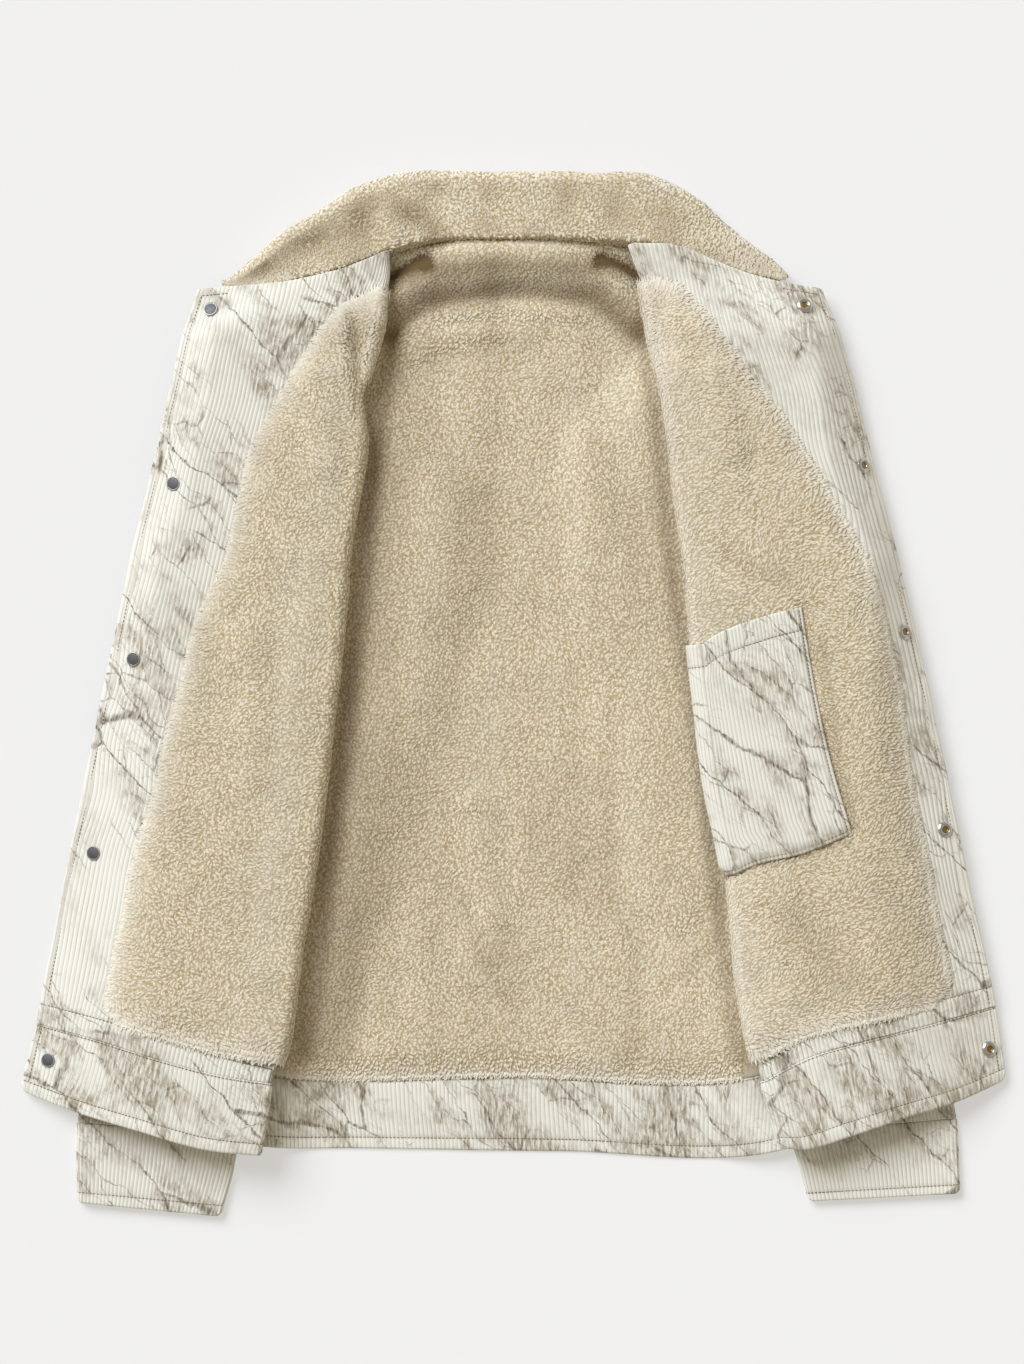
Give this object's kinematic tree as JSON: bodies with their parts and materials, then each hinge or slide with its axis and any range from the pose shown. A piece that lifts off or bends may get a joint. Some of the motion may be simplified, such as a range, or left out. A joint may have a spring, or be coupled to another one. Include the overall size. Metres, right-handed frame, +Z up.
{
  "type": "sherpa lined jacket laid open",
  "caption": "Corduroy jacket with a sherpa lining, laid open on its back with both fronts turned back, a rolled sherpa collar and an inner patch pocket.",
  "frame": {"origin": "middle of the laid jacket's footprint, on the surface that it lies on", "axes": "+Z up from the surface; +Y from the hem towards the collar; +X to the right as seen from above with the collar away from the viewer"},
  "size_m": [0.7434, 0.7864, 0.0437],
  "materials": {
    "corduroy": "off-white fine-wale corduroy with soft grey-taupe marble veins",
    "sherpa": "beige curled sherpa pile with paler tips",
    "pewter": "dark pewter-coloured snap caps with a bright rim",
    "silver": "polished silver snap sockets",
    "brass": "brass inside each snap socket"
  },
  "bodies": {
    "root": {"back_shell": "corduroy", "back_lining": "sherpa", "back_hem_band": "corduroy", "sleeve_left": "corduroy", "sleeve_right": "corduroy", "cuff_left": "corduroy", "cuff_right": "corduroy", "front_shell_left": "corduroy", "front_lining_left": "sherpa", "front_facing_left": "corduroy", "front_hem_band_left": "corduroy", "front_shell_right": "corduroy", "front_lining_right": "sherpa", "front_facing_right": "corduroy", "front_hem_band_right": "corduroy", "collar_upper": "sherpa", "collar_under": "corduroy", "inner_pocket": "corduroy", "snap_stud_left_1": "pewter", "snap_stud_left_2": "pewter", "snap_stud_left_3": "pewter", "snap_stud_left_4": "pewter", "snap_stud_left_5": "pewter", "snap_socket_right_1": "silver", "snap_socket_right_2": "silver", "snap_socket_right_3": "silver", "snap_socket_right_4": "silver", "snap_socket_right_5": "silver", "snap_outer_left_1": "pewter", "snap_outer_left_2": "pewter", "snap_outer_left_3": "pewter", "snap_outer_left_4": "pewter", "snap_outer_left_5": "pewter", "snap_outer_right_1": "pewter", "snap_outer_right_2": "pewter", "snap_outer_right_3": "pewter", "snap_outer_right_4": "pewter", "snap_outer_right_5": "pewter"}
  },
  "joints": []
}
